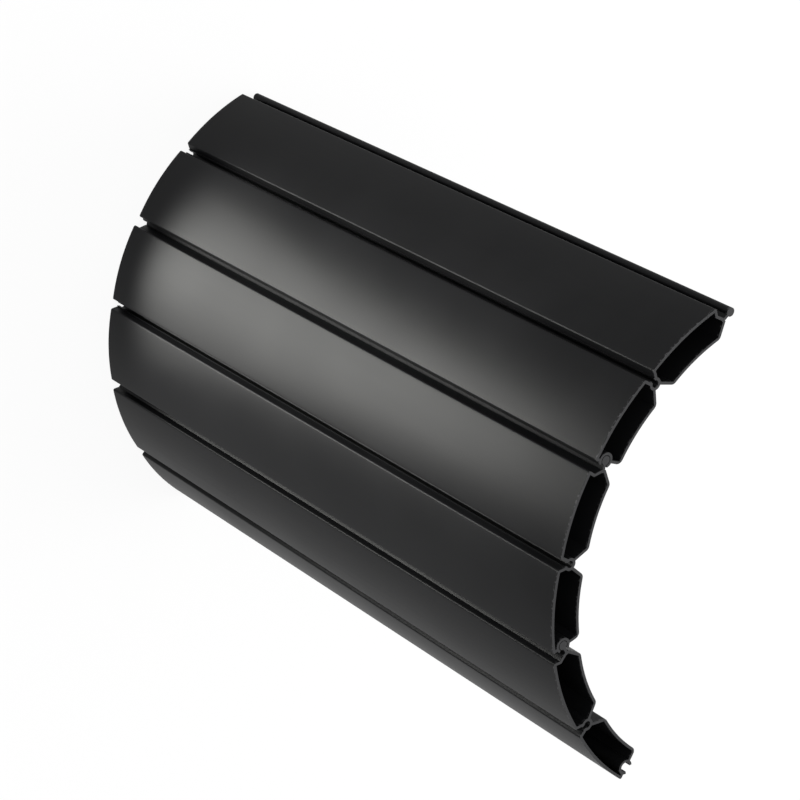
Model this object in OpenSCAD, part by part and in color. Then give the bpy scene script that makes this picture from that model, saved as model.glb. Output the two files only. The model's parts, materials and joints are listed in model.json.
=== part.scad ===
// Short curtain section of three hooked roller shutter slats, millimetres.
// X points into the coil, Y runs up the curtain, Z runs along the slats.

/* [Slat] */
// Distance from bead centre to socket centre
pitch = 77; // [60:1:100]
// Cut length of the slats
slat_len = 325; // [150:5:600]
// Wall thickness
wall = 1.2; // [1:0.1:1.6]

/* [Chambers] */
// Depth from the outer chord to the inner corners
depth = 13.1; // [10:0.1:16]
// Bow of the outer faces
face_bow = 1.7; // [0.8:0.1:2.5]
// Bow of the inner walls
inner_bow = 1.2; // [0.4:0.1:1.8]
// Set-back of the inner corners beside the groove
near_set = 5.3; // [4:0.1:7]
// Set-back of the inner corners beside the hinges
far_set = 4.4; // [3.5:0.1:6]
// Lean of the upper chamber in degrees
lean_up = 7.4; // [4:0.1:10]
// Lean of the lower chamber in degrees
lean_low = 12.1; // [8:0.1:14]
// Rounding of the outer edges
edge_round = 0.8; // [0.4:0.1:1]
// Rounding of the inner corners
inner_round = 2.5; // [1:0.1:3]

/* [Middle groove] */
// Width of the groove at the faces
groove = 4.8; // [4:0.1:6]
// Height of the groove as a share of the pitch
groove_at = 0.448; // [0.42:0.002:0.48]
// Distance of the groove mouth outside the hinge line
groove_out = 11.9; // [10:0.1:13]
// Depth of the groove to the centre of the round port
groove_deep = 5.6; // [4.5:0.1:7]
// Radius of the round port
port_r = 1.5; // [1.2:0.1:1.8]
// Height of the slot into the port
port_slot = 1.6; // [1.2:0.1:2]
// Angle of the port's lips from the slot in degrees
lip_turn = 30; // [25:1:40]

/* [Hinge] */
// Radius of the bead
bead_r = 1.9; // [1.6:0.1:2.2]
// Clearance between bead and socket
hinge_gap = 0.3; // [0.2:0.05:0.5]
// Wall of the socket
socket_wall = 1.1; // [0.9:0.1:1.4]
// Thickness of the neck under the bead
neck = 1.2; // [1:0.1:1.5]
// Width of the shoulder on each side of the neck
shoulder = 0.5; // [0.3:0.1:0.8]
// Free height between the socket and the roof below
roof_gap = 0.6; // [0.4:0.1:1]
// Fall from the bead to the upper outer corner
top_drop = 4; // [3.5:0.1:5]
// Fall from the socket to the lower outer corner
low_drop = 3.5; // [3:0.1:4]
// Distance of the roof valley outside the bead
valley_out = 4.2; // [4:0.1:5]
// Depth of the roof valley under the upper outer corner
valley_deep = 1.3; // [1:0.1:1.8]
// Largest curl of one hinge in degrees
curl_max = 45; // [40:1:50]
// Free angle beyond each stop in degrees
stop_free = 4; // [2:0.5:6]

/* [Pose] */
// Curl between the upper and the middle slat as stored
curl_a = 39.2; // [0:0.1:45]
// Curl between the middle and the lower slat as stored
curl_b = 41.3; // [0:0.1:45]

/* [Hidden] */
$fn = 96;
far_out = 6;
socket_r = bead_r + hinge_gap;
socket_out = socket_r + socket_wall;
roof_r = socket_out + roof_gap;
port_out = port_r + wall;
port_mid = port_r + wall / 2;
mid_y = pitch * groove_at;
port = [groove_deep - groove_out, mid_y];
bead = [0, pitch];
dir_up = [sin(lean_up), cos(lean_up)];
dir_low = [sin(lean_low), -cos(lean_low)];
in_up = [cos(lean_up), -sin(lean_up)];
in_low = [cos(lean_low), sin(lean_low)];
chord_up = (pitch - top_drop - mid_y - groove / 2) / cos(lean_up);
chord_low = (mid_y - groove / 2 + low_drop) / cos(lean_low);
mouth_half = asin(neck / 2 / socket_r) + stop_free;

// Corners of the upper chamber
up_near = [-groove_out, mid_y + groove / 2];
up_far = up_near + chord_up * dir_up;
up_in_near = up_near + near_set * dir_up + depth * in_up;
up_in_far = up_near + (chord_up - far_set) * dir_up + depth * in_up;
crest_in = bead + [neck / 2 + shoulder, -roof_r];
crest_out = bead - [neck / 2 + shoulder, roof_r];
valley = [-valley_out, up_far[1] - valley_deep];
lip_up_out = port + port_mid * [cos(180 - lip_turn), sin(180 - lip_turn)];
lip_up_in = port + port_mid * [cos(lip_turn), sin(lip_turn)];

// Corners of the lower chamber
low_near = [-groove_out, mid_y - groove / 2];
low_far = low_near + chord_low * dir_low;
low_in_near = low_near + near_set * dir_low + depth * in_low;
low_in_far = low_near + (chord_low - far_set) * dir_low + depth * in_low;
lip_low_out = port + port_mid * [cos(180 + lip_turn), sin(180 + lip_turn)];
lip_low_in = port + port_mid * [cos(-lip_turn), sin(-lip_turn)];

up_corners = [
    up_far, up_near, lip_up_out, lip_up_in,
    up_in_near, up_in_far, crest_in, crest_out, valley
];
low_corners = [low_near, low_far, low_in_far, low_in_near, lip_low_in, lip_low_out];

// Hinge centres of the stored arc, about the middle of the middle slat
turn_top = -curl_a;
turn_low = curl_b;
hinge_a = [0, pitch / 2];
hinge_b = [0, -pitch / 2];
socket_low = hinge_b + pitch * [sin(turn_low), -cos(turn_low)];
// Outermost points of the stored arc, and the shift that centres it over the origin
face_up_r = arc_r(chord_up, face_bow);
left_end = (up_far + up_near)[0] / 2 + (face_up_r - face_bow) * in_up[0] - face_up_r;
inner_tip = round_at(low_in_far, unit(low_far - low_in_far), -dir_low, inner_round);
outer_tip = round_at(low_far, face_dir(low_far, low_near, in_low), unit(low_in_far - low_far), edge_round);
lip_end = socket_out * cos(270 + curl_max + mouth_half + turn_low);
right_end = socket_low[0] + max(turned(inner_tip, turn_low)[0] + inner_round, lip_end);
high_end = (hinge_a + turned(bead, turn_top))[1] + bead_r;
low_end = (socket_low + turned(outer_tip, turn_low))[1] - edge_round;
shift = -[left_end + right_end, low_end + high_end] / 2;

function unit(v) = v / norm(v);
function left(v) = [-v[1], v[0]];
function cross_of(a, b) = a[0] * b[1] - a[1] * b[0];
function meet(p, u, q, v) = p + u * (cross_of(q - p, v) / cross_of(u, v));
function corner(a, b, c, w) =
    let (u = unit(b - a), v = unit(c - b))
    meet(b + left(u) * w, u, b + left(v) * w, v);
function inset(pts, w) =
    let (n = len(pts))
    [for (i = [0:n - 1]) corner(pts[(i + n - 1) % n], pts[i], pts[(i + 1) % n], w)];
function turned(p, a) = [p[0] * cos(a) - p[1] * sin(a), p[0] * sin(a) + p[1] * cos(a)];
function beyond(a, b) = a + far_out * unit(a - b);
function arc_r(chord, bow) = (chord * chord / 4 + bow * bow) / (2 * bow);
// Direction of the bowed face as it leaves corner a towards b
function face_dir(a, b, inward) =
    let (t = 2 * atan(2 * face_bow / norm(b - a)))
    cos(t) * unit(b - a) - sin(t) * inward;
// Centre of the rounding of a corner whose edges leave along u and v
function round_at(p, u, v, r) = p + unit(u + v) * r / sin(acos(u * v) / 2);

module disc(at, r) {
    translate(at)
        circle(r = r);
}

// Bowed face between two corners, a to the left of the inward side
module face_fill(a, b, inward, r, bow) {
    along = unit(b - a);
    intersection() {
        disc((a + b) / 2 + (r - bow) * inward, r);
        polygon([
            a,
            a - far_out * inward,
            b - far_out * inward,
            b,
            b - wall * along + wall * inward / 2,
            a + wall * along + wall * inward / 2
        ]);
    }
}

// What the rounding of a corner takes off
module tip(p, u, v, r) {
    run = r / tan(acos(u * v) / 2);
    centre = round_at(p, u, v, r);
    difference() {
        polygon([p - r * unit(u + v), p + run * u, centre, p + run * v]);
        disc(centre, r);
    }
}

// One hollow chamber: the face lies between corners 0 and 1, the inner wall between i and i + 1
module chamber(corners, i, inward) {
    a = corners[0];
    b = corners[1];
    in_a = corners[i];
    in_b = corners[i + 1];
    last = corners[len(corners) - 1];
    rest = [for (k = [2:len(corners) - 1]) corners[k]];
    face_r = arc_r(norm(b - a), face_bow);
    face_at = (a + b) / 2 + (face_r - face_bow) * inward;
    inner_r = arc_r(norm(in_b - in_a), inner_bow);
    inner_at = (in_a + in_b) / 2 + (inner_r - inner_bow) * inward;
    difference() {
        union() {
            polygon(corners);
            face_fill(a, b, inward, face_r, face_bow);
        }
        tip(a, face_dir(a, b, inward), unit(last - a), edge_round);
        tip(b, face_dir(b, a, inward), unit(corners[2] - b), edge_round);
        tip(in_a, unit(corners[i - 1] - in_a), unit(in_b - in_a), inner_round);
        tip(in_b, unit(in_a - in_b), unit(corners[i + 2] - in_b), inner_round);
        disc(inner_at, inner_r);
        difference() {
            intersection() {
                polygon(inset(concat([beyond(a, last), beyond(b, rest[0])], rest), wall));
                disc(face_at, face_r - wall);
            }
            disc(inner_at, inner_r + wall);
        }
    }
}

// Extruded section: two chambers, middle port, socket below, bead above
module section() {
    difference() {
        union() {
            chamber(up_corners, 4, in_up);
            chamber(low_corners, 2, in_low);
            disc(port, port_out);
            disc([0, 0], socket_out);
        }
        disc(port, port_r);
        translate(port - [far_out, port_slot / 2])
            square([far_out, port_slot]);
        disc([0, 0], socket_r);
        polygon([
            [0, 0],
            2 * far_out * [cos(270 - mouth_half), sin(270 - mouth_half)],
            2 * far_out * [cos(270 + curl_max / 2), sin(270 + curl_max / 2)],
            2 * far_out * [cos(270 + curl_max + mouth_half), sin(270 + curl_max + mouth_half)]
        ]);
    }
    disc(bead, bead_r);
    translate(bead - [neck / 2, roof_r + wall / 2])
        square([neck, roof_r + wall / 2]);
}

// Slat with its socket at the given point, turned by the given angle
module slat(socket, turn) {
    translate([socket[0] + shift[0], socket[1] + shift[1], 0])
        rotate([0, 0, turn])
            linear_extrude(height = slat_len)
                section();
}

module slat_top() {
    color([0.12, 0.12, 0.13])
        slat(hinge_a, turn_top);
}

module slat_mid() {
    color([0.16, 0.16, 0.17])
        slat(hinge_b, 0);
}

module slat_low() {
    color([0.2, 0.2, 0.21])
        slat(socket_low, turn_low);
}

slat_top();
slat_mid();
slat_low();
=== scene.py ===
import json
import math

import bmesh
import bpy
from mathutils import Euler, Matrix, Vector


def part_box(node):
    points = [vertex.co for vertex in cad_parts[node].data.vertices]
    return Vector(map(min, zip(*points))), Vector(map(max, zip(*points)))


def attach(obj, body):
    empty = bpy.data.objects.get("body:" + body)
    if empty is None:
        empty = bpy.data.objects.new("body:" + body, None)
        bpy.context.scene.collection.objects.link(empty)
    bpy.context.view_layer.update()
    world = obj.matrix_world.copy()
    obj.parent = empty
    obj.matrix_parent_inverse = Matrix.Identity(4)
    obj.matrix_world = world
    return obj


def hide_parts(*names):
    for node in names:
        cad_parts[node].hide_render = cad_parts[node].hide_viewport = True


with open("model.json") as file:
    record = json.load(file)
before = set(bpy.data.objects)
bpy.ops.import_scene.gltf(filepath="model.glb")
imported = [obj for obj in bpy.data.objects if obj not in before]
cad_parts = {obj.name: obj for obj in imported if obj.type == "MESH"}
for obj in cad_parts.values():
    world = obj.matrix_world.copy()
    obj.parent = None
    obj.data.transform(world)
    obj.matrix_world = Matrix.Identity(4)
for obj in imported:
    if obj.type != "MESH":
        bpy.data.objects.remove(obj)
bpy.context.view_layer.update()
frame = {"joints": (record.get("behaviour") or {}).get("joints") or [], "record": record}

# Camera: a long lens outside the arc, looking down on the upper sawn ends.
# It is rolled far over, so the slats run from the upper left to the lower right, as in the photo.
scene = bpy.context.scene
scene.view_settings.view_transform = "Standard"
camera = bpy.data.objects.new("camera", bpy.data.cameras.new("camera"))
scene.collection.objects.link(camera)
scene.camera = camera
camera.location = (-0.77161, 0.34020, 1.06175)
camera.rotation_euler = Euler([math.radians(a) for a in (-24.674, -36.986, 14.245)])
camera.data.sensor_width = 36
camera.data.lens = 128.37


# Floor: a matt white sheet that keeps a faint shadow of the slats.
# What the camera and the gloss of the coat see of it is mostly plain white.
class Value:
    """A shader socket that adds and multiplies like a number."""

    def __init__(self, tree, socket=None):
        self.tree = tree
        self.socket = socket

    def node(self, kind, settings, sockets, out=0):
        made = self.tree.nodes.new(kind)
        for name, setting in settings.items():
            setattr(made, name, setting)
        for name, value in sockets.items():
            if isinstance(value, Value):
                self.tree.links.new(value.socket, made.inputs[name])
            else:
                made.inputs[name].default_value = value
        return Value(self.tree, made.outputs[out] if made.outputs else None)

    def beside(self, name):
        """Another output of the same node."""
        return Value(self.tree, self.socket.node.outputs[name])

    def maths(self, operation, a, b):
        return self.node("ShaderNodeMath", {"operation": operation}, {0: a, 1: b})

    def __add__(self, other):
        return self.maths("ADD", self, other)

    def __radd__(self, other):
        return self.maths("ADD", other, self)

    def __sub__(self, other):
        return self.maths("SUBTRACT", self, other)

    def __rsub__(self, other):
        return self.maths("SUBTRACT", other, self)

    def __mul__(self, other):
        return self.maths("MULTIPLY", self, other)

    def __rmul__(self, other):
        return self.maths("MULTIPLY", other, self)

    def between(self, low, high):
        """Smooth step from 0 at low to 1 at high."""
        span = {"From Min": low, "From Max": high, "Value": self}
        return self.node("ShaderNodeMapRange", {"interpolation_type": "SMOOTHSTEP"}, span)

    def mixed(self, colour_a, colour_b):
        """Colour a where this value is 0, colour b where it is 1."""
        sockets = {"Factor": self, 6: colour_a, 7: colour_b}
        return self.node("ShaderNodeMix", {"data_type": "RGBA"}, sockets, 2)


def background_ray(tree):
    """1 for the rays that see the white background plainly, else 0."""
    ray = Value(tree).node("ShaderNodeLightPath", {}, {}, "Is Camera Ray")
    shown = ray.maths("MAXIMUM", ray, ray.beside("Is Glossy Ray"))
    return ray.maths("MAXIMUM", shown, ray.beside("Is Transmission Ray"))


floor_half = 4
floor_colour = (0.86, 0.86, 0.86, 1)
floor_plain = 0.9
floor_corners = [(floor_half * x, floor_half * y, 0) for x, y in ((-1, -1), (1, -1), (1, 1), (-1, 1))]
floor_mesh = bpy.data.meshes.new("floor")
floor_mesh.from_pydata(floor_corners, [], [(0, 1, 2, 3)])
floor_paint = bpy.data.materials.new("floor_white")
floor_paint.use_nodes = True
floor_paint.node_tree.nodes.clear()
start = Value(floor_paint.node_tree)
matt = start.node("ShaderNodeBsdfDiffuse", {}, {"Color": floor_colour})
plain = start.node("ShaderNodeEmission", {}, {})
share = background_ray(floor_paint.node_tree) * floor_plain
sheet = start.node("ShaderNodeMixShader", {}, {"Fac": share, 1: matt, 2: plain})
start.node("ShaderNodeOutputMaterial", {}, {"Surface": sheet})
floor_mesh.materials.append(floor_paint)
floor = bpy.data.objects.new("floor", floor_mesh)
scene.collection.objects.link(floor)

# Light: an even white room, a soft lamp overhead and one on the hollow side of the arc.
# A low gridded panel in front of the arc gives the broad sheen on the second and third faces.
room = bpy.data.worlds.new("room")
scene.world = room
room.use_nodes = True
room_level = 0.75
backdrop = room.node_tree.nodes["Background"]
backdrop.inputs["Color"].default_value = (1, 1, 1, 1)
strength = room_level + background_ray(room.node_tree) * (1 - room_level)
room.node_tree.links.new(strength.socket, backdrop.inputs["Strength"])


def soft_lamp(name, shape, energy, location, aim):
    lamp = bpy.data.objects.new(name, bpy.data.lights.new(name, "AREA"))
    scene.collection.objects.link(lamp)
    lamp.data.shape = shape
    lamp.data.energy = energy
    lamp.location = location
    lamp.rotation_euler = Vector(aim).to_track_quat("-Z", "Y").to_euler()
    return lamp


over = soft_lamp("lamp_over", "DISK", 16, (-0.5, 0.5, 2.0), (0.5, -0.5, -2.0))
over.data.size = 1.6
panel = soft_lamp("lamp_low", "RECTANGLE", 0.25, (-0.122, 0.033, 0.068), (0.684, -0.080, 0.725))
panel.data.size = 0.12
panel.data.size_y = 0.2
panel.data.spread = math.radians(58)
panel.data.color = (1, 1, 0.96)
panel.visible_camera = False
side = soft_lamp("lamp_side", "DISK", 20, (1.4, 0.1, 0.3), (-1.4, -0.1, -0.3))
side.data.size = 1.2

# Slats: three equal lengths of one extruded aluminium profile, powder coated black and sawn off.
# Two hollow chambers with bowed faces, a round port between them, a bead above and a socket below.
# Each bead is slid endways into the socket of the slat above, and the socket holds it as a hinge.
joints = {j["name"]: Vector(j["pos_m"]) for j in frame["joints"]}
mounts = {m["name"]: Vector(m["pos_m"]) for m in frame["record"]["mounts"]}
slat_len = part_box("slat_top")[1].z
millimetre = 0.001

# Sizes of the profile in millimetres, and its angles in degrees
pitch = (joints["hinge_a"] - joints["hinge_b"]).length / millimetre
wall = 1.2
depth = 13.1
face_bow = 1.7
inner_bow = 1.2
near_set = 5.3
far_set = 4.4
lean_up = 7.4
lean_low = 12.1
edge_round = 0.8
inner_round = 2.5
groove = 4.8
groove_at = 0.448
groove_out = 11.9
groove_deep = 5.6
port_r = 1.5
port_slot = 1.6
lip_turn = 30
bead_r = 1.9
socket_r = 2.2
socket_out = 3.3
neck = 1.2
shoulder = 0.5
roof_r = 3.9
top_drop = 4
low_drop = 3.5
valley_out = 4.2
valley_deep = 1.3
curl_max = 45
stop_free = 4


def polar(centre, radius, degrees):
    angle = math.radians(degrees)
    return centre + radius * Vector((math.cos(angle), math.sin(angle)))


def left(v):
    return Vector((-v.y, v.x)).normalized()


def turned(v, angle):
    c = math.cos(angle)
    s = math.sin(angle)
    return Vector((c * v.x - s * v.y, s * v.x + c * v.y))


def inset(a, b):
    """The line a to b, moved inwards by the wall."""
    return a + wall * left(b - a), b + wall * left(b - a)


def crossing(line_a, line_b):
    """Point where two lines meet."""
    u = line_a[1] - line_a[0]
    v = line_b[1] - line_b[0]
    return line_a[0] + u * ((line_b[0] - line_a[0]).cross(v) / u.cross(v))


def hit(line, centre, radius, last=False):
    """First or last point where a line meets a circle."""
    a, b = line
    u = (b - a).normalized()
    foot = (centre - a).dot(u)
    half = math.sqrt(radius ** 2 - (centre - a - foot * u).length_squared)
    return a + u * (foot + half if last else foot - half)


def arc_of(a, b, bow, inward):
    """Centre and radius of the arc over the chord a to b."""
    radius = ((b - a).length_squared / 4 + bow ** 2) / (2 * bow)
    return (a + b) / 2 + (radius - bow) * inward, radius


def edge_run(p, q, centre, sense):
    """Direction at the start and the end of an edge, and the angle that it sweeps."""
    if not sense:
        go = (q - p).normalized()
        return go, go, 0
    start = p - centre
    end = q - centre
    ahead = math.atan2(end.y, end.x) - math.atan2(start.y, start.x)
    return sense * left(start), sense * left(end), sense * ((sense * ahead) % math.tau)


def outline(corners):
    """Points along a closed line of (corner, rounding, centre of the arc to the next, sense)."""
    round_steps = 8
    arc_step = 7
    longest_step = 1.5
    count = len(corners)
    runs = []
    for i, (p, rounding, centre, sense) in enumerate(corners):
        runs.append(edge_run(p, corners[(i + 1) % count][0], centre, sense))
    turns = [-runs[i - 1][1].angle_signed(runs[i][0]) for i in range(count)]
    trims = [corners[i][1] * math.tan(abs(turns[i]) / 2) for i in range(count)]
    points = []
    for i, (p, rounding, centre, sense) in enumerate(corners):
        if rounding:
            came = runs[i - 1][1]
            touch = p - trims[i] * came
            middle = touch + math.copysign(rounding, turns[i]) * left(came)
            for k in range(round_steps + 1):
                points.append(middle + turned(touch - middle, turns[i] * k / round_steps))
        else:
            points.append(p.copy())
        if sense:
            sweep = runs[i][2]
            length = (p - centre).length * abs(sweep)
            first = trims[i] / length
            final = 1 - trims[(i + 1) % count] / length
            fine = math.ceil(math.degrees(abs(sweep)) / arc_step)
            steps = max(4, fine, math.ceil(length / longest_step))
            for k in range(1, steps):
                share = first + (final - first) * k / steps
                points.append(centre + turned(p - centre, sweep * share))
    return points


# Corners of both chambers, about the socket's centre
hub = Vector((0, 0))
bead = Vector((0, pitch))
mid_y = pitch * groove_at
port = Vector((groove_deep - groove_out, mid_y))
port_out = port_r + wall
port_mid = port_r + wall / 2
dir_up = polar(hub, 1, 90 - lean_up)
in_up = polar(hub, 1, -lean_up)
dir_low = polar(hub, 1, lean_low - 90)
in_low = polar(hub, 1, lean_low)
chord_up = (pitch - top_drop - mid_y - groove / 2) / math.cos(math.radians(lean_up))
chord_low = (mid_y - groove / 2 + low_drop) / math.cos(math.radians(lean_low))
up_near = Vector((-groove_out, mid_y + groove / 2))
up_far = up_near + chord_up * dir_up
up_in_near = up_near + near_set * dir_up + depth * in_up
up_in_far = up_near + (chord_up - far_set) * dir_up + depth * in_up
low_near = Vector((-groove_out, mid_y - groove / 2))
low_far = low_near + chord_low * dir_low
low_in_near = low_near + near_set * dir_low + depth * in_low
low_in_far = low_near + (chord_low - far_set) * dir_low + depth * in_low
crest_in = bead + Vector((neck / 2 + shoulder, -roof_r))
crest_out = bead + Vector((-neck / 2 - shoulder, -roof_r))
valley = Vector((-valley_out, up_far.y - valley_deep))
lip_up_out = polar(port, port_mid, 180 - lip_turn)
lip_up_in = polar(port, port_mid, lip_turn)
lip_low_out = polar(port, port_mid, 180 + lip_turn)
lip_low_in = polar(port, port_mid, -lip_turn)
face_up, face_up_r = arc_of(up_far, up_near, face_bow, in_up)
face_low, face_low_r = arc_of(low_near, low_far, face_bow, in_low)
back_up, back_up_r = arc_of(up_in_near, up_in_far, inner_bow, in_up)
back_low, back_low_r = arc_of(low_in_far, low_in_near, inner_bow, in_low)

# Outer line, from the upper outer corner down the faces and up the inner walls to the bead
slot_out = math.degrees(math.asin(port_slot / 2 / port_out))
slot_in = math.degrees(math.asin(port_slot / 2 / port_r))
neck_top = math.degrees(math.asin(neck / 2 / bead_r))
mouth = math.degrees(math.asin(neck / 2 / socket_r)) + stop_free
mouth_out = 270 - mouth
mouth_in = 270 + curl_max + mouth
shell = outline([
    (up_far, edge_round, face_up, 1),
    (up_near, edge_round, None, 0),
    (hit((up_near, lip_up_out), port, port_out), 0, port, 1),
    (polar(port, port_out, 180 - slot_out), 0, None, 0),
    (polar(port, port_r, 180 - slot_in), 0, port, -1),
    (polar(port, port_r, 180 + slot_in), 0, None, 0),
    (polar(port, port_out, 180 + slot_out), 0, port, 1),
    (hit((low_near, lip_low_out), port, port_out), 0, None, 0),
    (low_near, edge_round, face_low, 1),
    (low_far, edge_round, None, 0),
    (hit((low_far, low_in_far), hub, socket_out), 0, hub, 1),
    (polar(hub, socket_out, mouth_out), 0, None, 0),
    (polar(hub, socket_r, mouth_out), 0, hub, -1),
    (polar(hub, socket_r, mouth_in), 0, None, 0),
    (polar(hub, socket_out, mouth_in), 0, hub, 1),
    (hit((low_in_far, low_far), hub, socket_out), 0, None, 0),
    (low_in_far, inner_round, back_low, -1),
    (low_in_near, inner_round, None, 0),
    (hit((low_in_near, lip_low_in), port, port_out), 0, port, 1),
    (hit((up_in_near, lip_up_in), port, port_out), 0, None, 0),
    (up_in_near, inner_round, back_up, -1),
    (up_in_far, inner_round, None, 0),
    (crest_in, 0, None, 0),
    (crest_in - Vector((shoulder, 0)), 0, None, 0),
    (polar(bead, bead_r, neck_top - 90), 0, bead, 1),
    (polar(bead, bead_r, 270 - neck_top), 0, None, 0),
    (crest_out + Vector((shoulder, 0)), 0, None, 0),
    (crest_out, 0, None, 0),
    (valley, 0, None, 0),
])

# Hollow of the upper chamber
roof_out = inset(valley, up_far)
roof_in = inset(up_in_far, crest_in)
crest = inset(crest_in, crest_out)
slope = inset(crest_out, valley)
base_out = inset(up_near, lip_up_out)
base_in = inset(lip_up_in, up_in_near)
hollow_up = outline([
    (hit(roof_out, face_up, face_up_r - wall, True), 0, face_up, 1),
    (hit(base_out[::-1], face_up, face_up_r - wall, True), 0, None, 0),
    (hit(base_out, port, port_out), 0, port, -1),
    (hit(base_in[::-1], port, port_out), 0, None, 0),
    (hit(base_in, back_up, back_up_r + wall), 0, back_up, -1),
    (hit(roof_in[::-1], back_up, back_up_r + wall), 0, None, 0),
    (crossing(roof_in, crest), 0, None, 0),
    (crossing(crest, slope), 0, None, 0),
    (crossing(slope, roof_out), 0, None, 0),
])

# Hollow of the lower chamber
ceiling_out = inset(lip_low_out, low_near)
ceiling_in = inset(low_in_near, lip_low_in)
sole = inset(low_far, low_in_far)
hollow_low = outline([
    (hit(ceiling_out, face_low, face_low_r - wall, True), 0, face_low, 1),
    (hit(sole[::-1], face_low, face_low_r - wall, True), 0, None, 0),
    (hit(sole, hub, socket_out), 0, hub, -1),
    (hit(sole, hub, socket_out, True), 0, None, 0),
    (hit(sole, back_low, back_low_r + wall), 0, back_low, -1),
    (hit(ceiling_in[::-1], back_low, back_low_r + wall), 0, None, 0),
    (hit(ceiling_in, port, port_out), 0, port, -1),
    (hit(ceiling_out[::-1], port, port_out), 0, None, 0),
])
profile = bpy.data.meshes.new("slat_profile")
corners = []
edges = []
for loop in (shell, hollow_up, hollow_low):
    first = len(corners)
    corners += [(millimetre * p.x, millimetre * p.y, 0) for p in loop]
    edges += [(first + i, first + (i + 1) % len(loop)) for i in range(len(loop))]
profile.from_pydata(corners, edges, [])

# Black satin coat with fine orange peel, faint die lines, a little dust, and chips beside the sawn ends
coat_black = (0.0036, 0.0037, 0.0041, 1)
coat_faded = (0.0064, 0.0065, 0.0070, 1)
chip_grey = (0.045, 0.045, 0.047, 1)
chip_reach = 0.0012
coat = bpy.data.materials.new("slat_coat")
coat.use_nodes = True
tree = coat.node_tree
gloss = tree.nodes["Principled BSDF"]
gloss.inputs["Specular IOR Level"].default_value = 0.075
start = Value(tree)
place = start.node("ShaderNodeTexCoord", {}, {}, "Object")
along = start.node("ShaderNodeMapping", {}, {"Vector": place, "Scale": (1, 1, 0.004)})
peel = start.node("ShaderNodeTexNoise", {}, {"Vector": place, "Scale": 900.0, "Detail": 2.0})
die = start.node("ShaderNodeTexNoise", {}, {"Vector": along, "Scale": 1800.0, "Detail": 3.0})
patch = start.node("ShaderNodeTexNoise", {}, {"Vector": place, "Scale": 22.0, "Detail": 4.0})
speck = start.node("ShaderNodeTexNoise", {}, {"Vector": place, "Scale": 1400.0, "Detail": 1.0})
height = start.node("ShaderNodeSeparateXYZ", {}, {"Vector": place}, "Z")
dust = speck.between(0.68, 0.74) * patch.between(0.4, 0.7)
tint = (patch.between(0.3, 0.7) * 0.6 + dust * 0.4).mixed(coat_black, coat_faded)
from_end = start.maths("MINIMUM", height, slat_len - height)
chips = peel.between(0.55, 0.6) * (1 - from_end.between(0.0002, chip_reach))
worn = chips.mixed(tint, chip_grey)
rough = 0.37 + patch * 0.10 + die * 0.06 + dust * 0.1
relief = {"Strength": 0.35, "Distance": 0.00002, "Height": peel * 0.8 + die * 0.5}
bump = start.node("ShaderNodeBump", {}, relief)
tree.links.new(worn.socket, gloss.inputs["Base Color"])
tree.links.new(rough.socket, gloss.inputs["Roughness"])
tree.links.new(bump.socket, gloss.inputs["Normal"])

# Bare aluminium of the sawn ends, dull grey with fine saw lines
cut_dark = (0.014, 0.014, 0.015, 1)
cut_light = (0.040, 0.040, 0.042, 1)
saw_turn = math.radians(35)
cut = bpy.data.materials.new("slat_cut")
cut.use_nodes = True
tree = cut.node_tree
bare = tree.nodes["Principled BSDF"]
bare.inputs["Metallic"].default_value = 0.35
bare.inputs["Specular IOR Level"].default_value = 0.3
start = Value(tree)
place = start.node("ShaderNodeTexCoord", {}, {}, "Object")
lines = {"Vector": place, "Rotation": (0, 0, saw_turn), "Scale": (1, 0.03, 1)}
across = start.node("ShaderNodeMapping", {}, lines)
saw = start.node("ShaderNodeTexNoise", {}, {"Vector": across, "Scale": 2600.0, "Detail": 2.0})
stain = start.node("ShaderNodeTexNoise", {}, {"Vector": place, "Scale": 160.0, "Detail": 3.0})
grey = (saw * 0.6 + stain * 0.4).mixed(cut_dark, cut_light)
dull = 0.42 + stain * 0.2
relief = {"Strength": 0.4, "Distance": 0.00003, "Height": saw}
scored = start.node("ShaderNodeBump", {}, relief)
tree.links.new(grey.socket, bare.inputs["Base Color"])
tree.links.new(dull.socket, bare.inputs["Roughness"])
tree.links.new(scored.socket, bare.inputs["Normal"])

# Tree that fills the profile, presses it to length, lays it at its hinge and tells coat from sawn ends
weld_reach = 1e-6
end_upright = 0.9
extrusion = bpy.data.node_groups.new("slat_extrusion", "GeometryNodeTree")
extrusion.interface.new_socket("Profile", in_out="INPUT", socket_type="NodeSocketGeometry")
length_in = extrusion.interface.new_socket("Length", in_out="INPUT", socket_type="NodeSocketFloat")
turn_in = extrusion.interface.new_socket("Turn", in_out="INPUT", socket_type="NodeSocketRotation")
place_in = extrusion.interface.new_socket("Place", in_out="INPUT", socket_type="NodeSocketVector")
extrusion.interface.new_socket("Slat", in_out="OUTPUT", socket_type="NodeSocketGeometry")
make = extrusion.nodes.new
join = extrusion.links.new
given = make("NodeGroupInput")
curve = make("GeometryNodeMeshToCurve")
join(given.outputs["Profile"], curve.inputs["Mesh"])
fill = make("GeometryNodeFillCurve")
join(curve.outputs[0], fill.inputs["Curve"])
upwards = make("ShaderNodeCombineXYZ")
upwards.inputs["Z"].default_value = 1
press = make("GeometryNodeExtrudeMesh")
press.inputs["Individual"].default_value = False
join(fill.outputs[0], press.inputs["Mesh"])
join(upwards.outputs[0], press.inputs["Offset"])
join(given.outputs["Length"], press.inputs["Offset Scale"])
under = make("GeometryNodeFlipFaces")
join(fill.outputs[0], under.inputs["Mesh"])
both = make("GeometryNodeJoinGeometry")
join(press.outputs["Mesh"], both.inputs[0])
join(under.outputs[0], both.inputs[0])
weld = make("GeometryNodeMergeByDistance")
weld.inputs["Distance"].default_value = weld_reach
join(both.outputs[0], weld.inputs["Geometry"])
lay = make("GeometryNodeTransform")
join(weld.outputs[0], lay.inputs["Geometry"])
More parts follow.
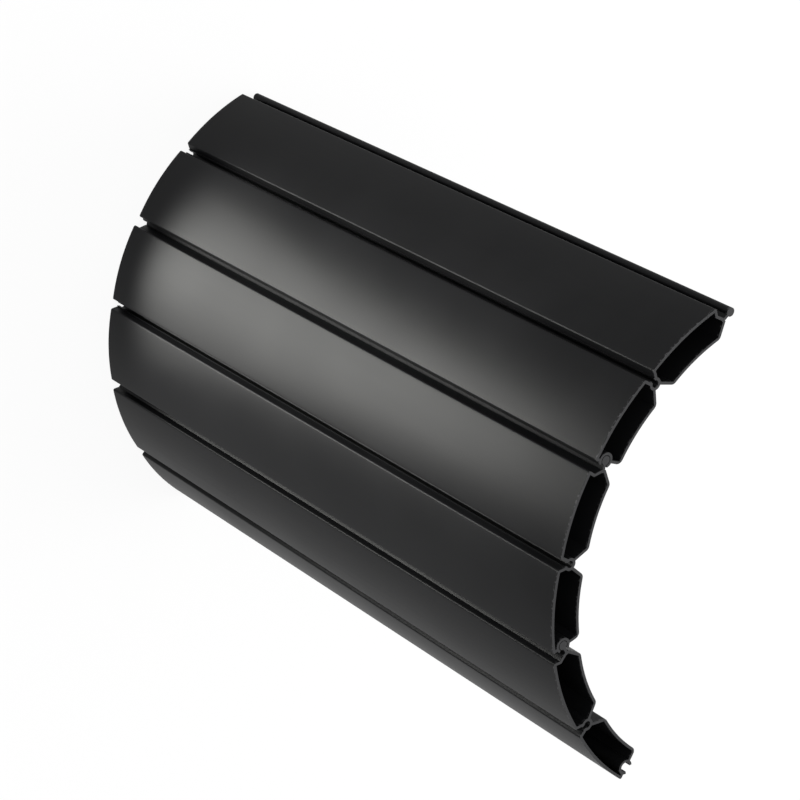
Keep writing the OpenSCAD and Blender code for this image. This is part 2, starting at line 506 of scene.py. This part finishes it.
join(given.outputs["Place"], lay.inputs["Translation"])
join(given.outputs["Turn"], lay.inputs["Rotation"])
real = make("GeometryNodeRealizeInstances")
join(lay.outputs[0], real.inputs[0])
normal = make("GeometryNodeInputNormal")
parts = make("ShaderNodeSeparateXYZ")
join(normal.outputs[0], parts.inputs[0])
upright = make("ShaderNodeMath")
upright.operation = "ABSOLUTE"
join(parts.outputs["Z"], upright.inputs[0])
ends = make("ShaderNodeMath")
ends.operation = "GREATER_THAN"
ends.inputs[1].default_value = end_upright
join(upright.outputs[0], ends.inputs[0])
coated = make("GeometryNodeSetMaterial")
coated.inputs["Material"].default_value = coat
join(real.outputs[0], coated.inputs["Geometry"])
sawn = make("GeometryNodeSetMaterial")
sawn.inputs["Material"].default_value = cut
join(coated.outputs[0], sawn.inputs["Geometry"])
join(ends.outputs[0], sawn.inputs["Selection"])
done = make("NodeGroupOutput")
join(sawn.outputs[0], done.inputs[0])

# The three slats, from the free bead to the free socket, each along the line from its socket to its bead
sharp_angle = math.radians(28)
hooks = {
    "slat_top": (joints["hinge_a"], mounts["free_bead"]),
    "slat_mid": (joints["hinge_b"], joints["hinge_a"]),
    "slat_low": (mounts["free_socket"], joints["hinge_b"]),
}
for name, (socket, top) in hooks.items():
    maker = bpy.data.objects.new("maker_" + name, profile)
    scene.collection.objects.link(maker)
    swept = maker.modifiers.new("extrusion", "NODES")
    swept.node_group = extrusion
    swept[length_in.identifier] = slat_len
    swept[turn_in.identifier] = Euler((0, 0, math.atan2(socket.x - top.x, top.y - socket.y)))
    swept[place_in.identifier] = Vector((socket.x, socket.y, 0))
    bpy.context.view_layer.update()
    pressed = maker.evaluated_get(bpy.context.evaluated_depsgraph_get())
    mesh = bpy.data.meshes.new_from_object(pressed)
    mesh.name = name + "_extrusion"
    bpy.data.objects.remove(maker)
    work = bmesh.new()
    work.from_mesh(mesh)
    bmesh.ops.recalc_face_normals(work, faces=work.faces)
    for face in work.faces:
        face.smooth = True
    work.to_mesh(mesh)
    work.free()
    mesh.set_sharp_from_angle(angle=sharp_angle)
    slat = bpy.data.objects.new(name + "_extrusion", mesh)
    scene.collection.objects.link(slat)
    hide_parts(name)
    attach(slat, name)
